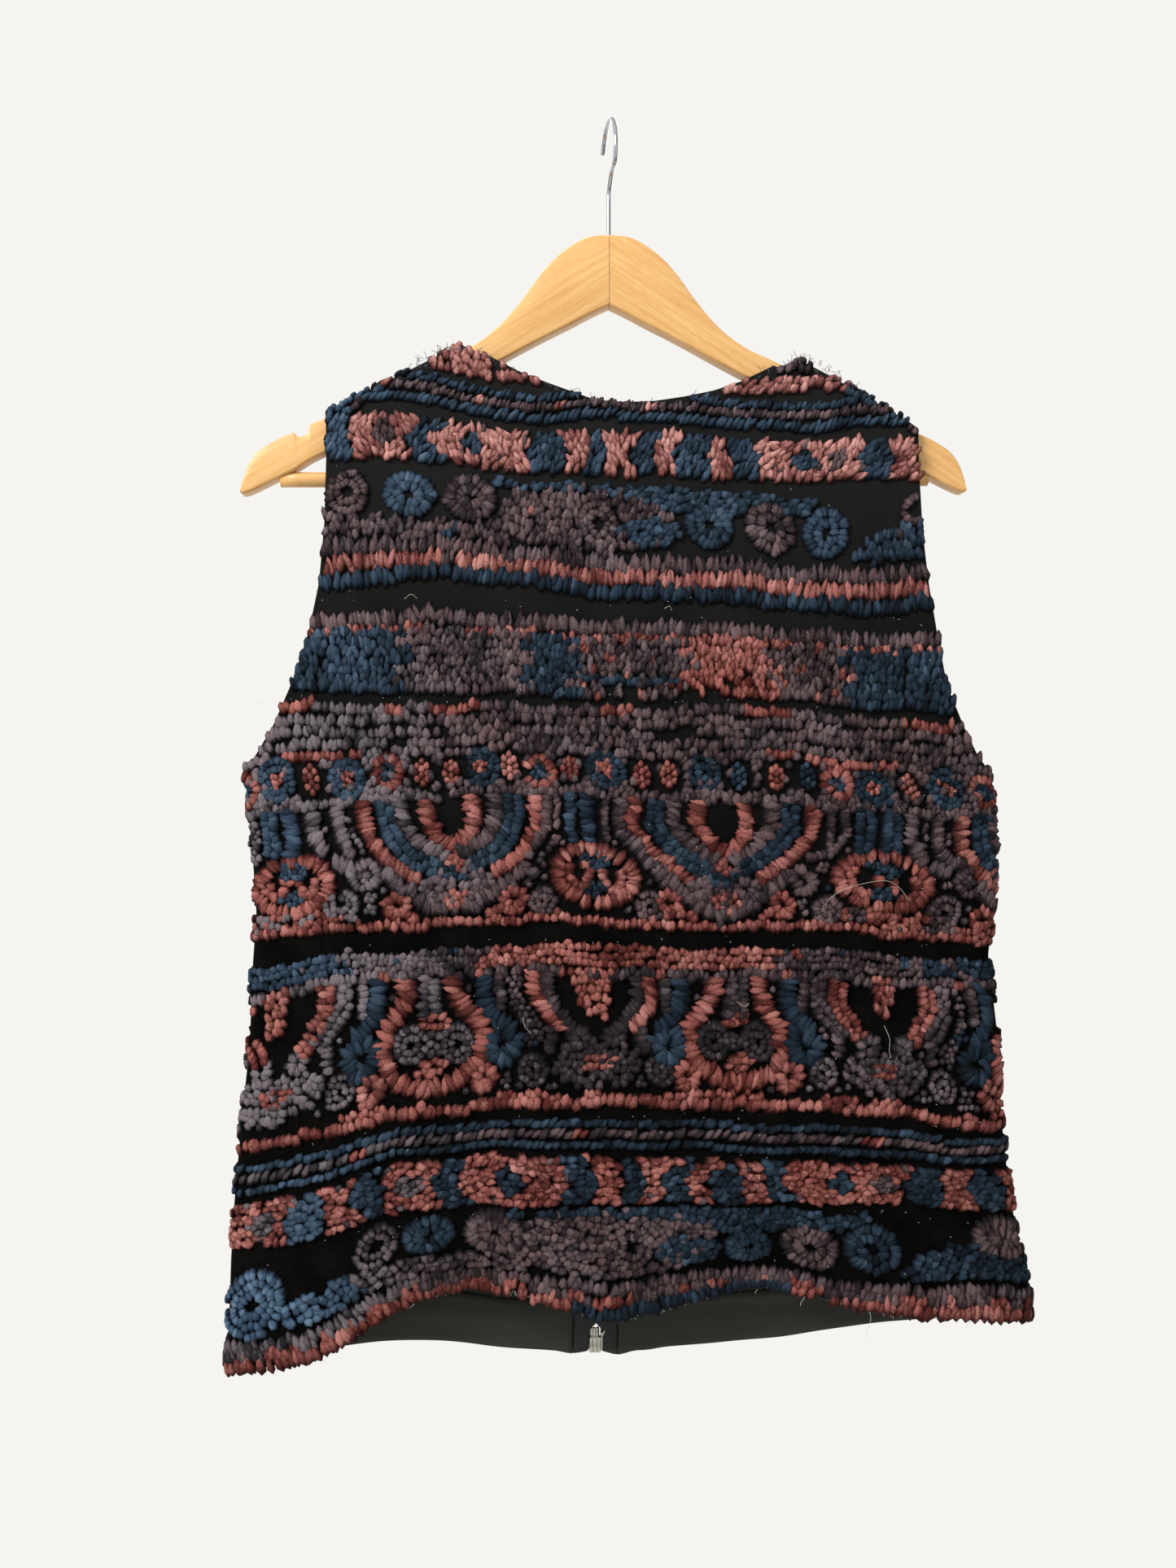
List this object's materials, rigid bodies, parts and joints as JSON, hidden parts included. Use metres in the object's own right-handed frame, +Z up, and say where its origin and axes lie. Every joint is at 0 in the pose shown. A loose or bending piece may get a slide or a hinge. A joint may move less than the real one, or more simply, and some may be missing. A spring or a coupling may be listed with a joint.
{
  "type": "fleece vest on a wooden hanger",
  "caption": "Sleeveless front-zip vest in sculpted-pile fleece with ornamental bands, hung back to the viewer on a wooden hanger with a chrome hook.",
  "frame": {"origin": "inside the top of the hanger's hook, where a rail or peg carries it", "axes": "+Z up; -Y is the way the vest's back faces, as in the picture; +Y is the way its zipped front faces; +X runs along the hanger, to the right in the picture"},
  "size_m": [0.5009, 0.0605, 0.7659],
  "materials": {
    "fleece": "sculpted pile in navy, mauve and rust on a flat black ground",
    "facing": "plain matte black cloth",
    "zip_tape": "woven black tape",
    "zip_metal": "nickel plated",
    "hanger_wood": "clear gloss varnish",
    "hook_chrome": "polished"
  },
  "bodies": {
    "vest_on_hanger": {"back_panel": "fleece", "front_left": "fleece", "front_right": "fleece", "back_neck_facing": "facing", "front_hem_facing_left": "facing", "front_hem_facing_right": "facing", "zip_tape_left": "zip_tape", "zip_tape_right": "zip_tape", "zip_teeth_left": "zip_metal", "zip_teeth_right": "zip_metal", "zip_stop_left": "zip_metal", "zip_stop_right": "zip_metal", "zip_box": "zip_metal", "zip_pin": "zip_metal", "zip_slider": "zip_metal", "hanger_arm_left": "hanger_wood", "hanger_arm_right": "hanger_wood", "hanger_bar": "hanger_wood", "hanger_hook": "hook_chrome"},
    "zip_pull": {"zip_pull_tab": "zip_metal"}
  },
  "joints": [
    {"name": "zip_pull_swing", "type": "hinge", "parent": "vest_on_hanger", "child": "zip_pull", "pos_m": [0.00574, 0.02476, -0.2995], "axis": [1, 0, 0], "range_deg": [0, 165]}
  ]
}
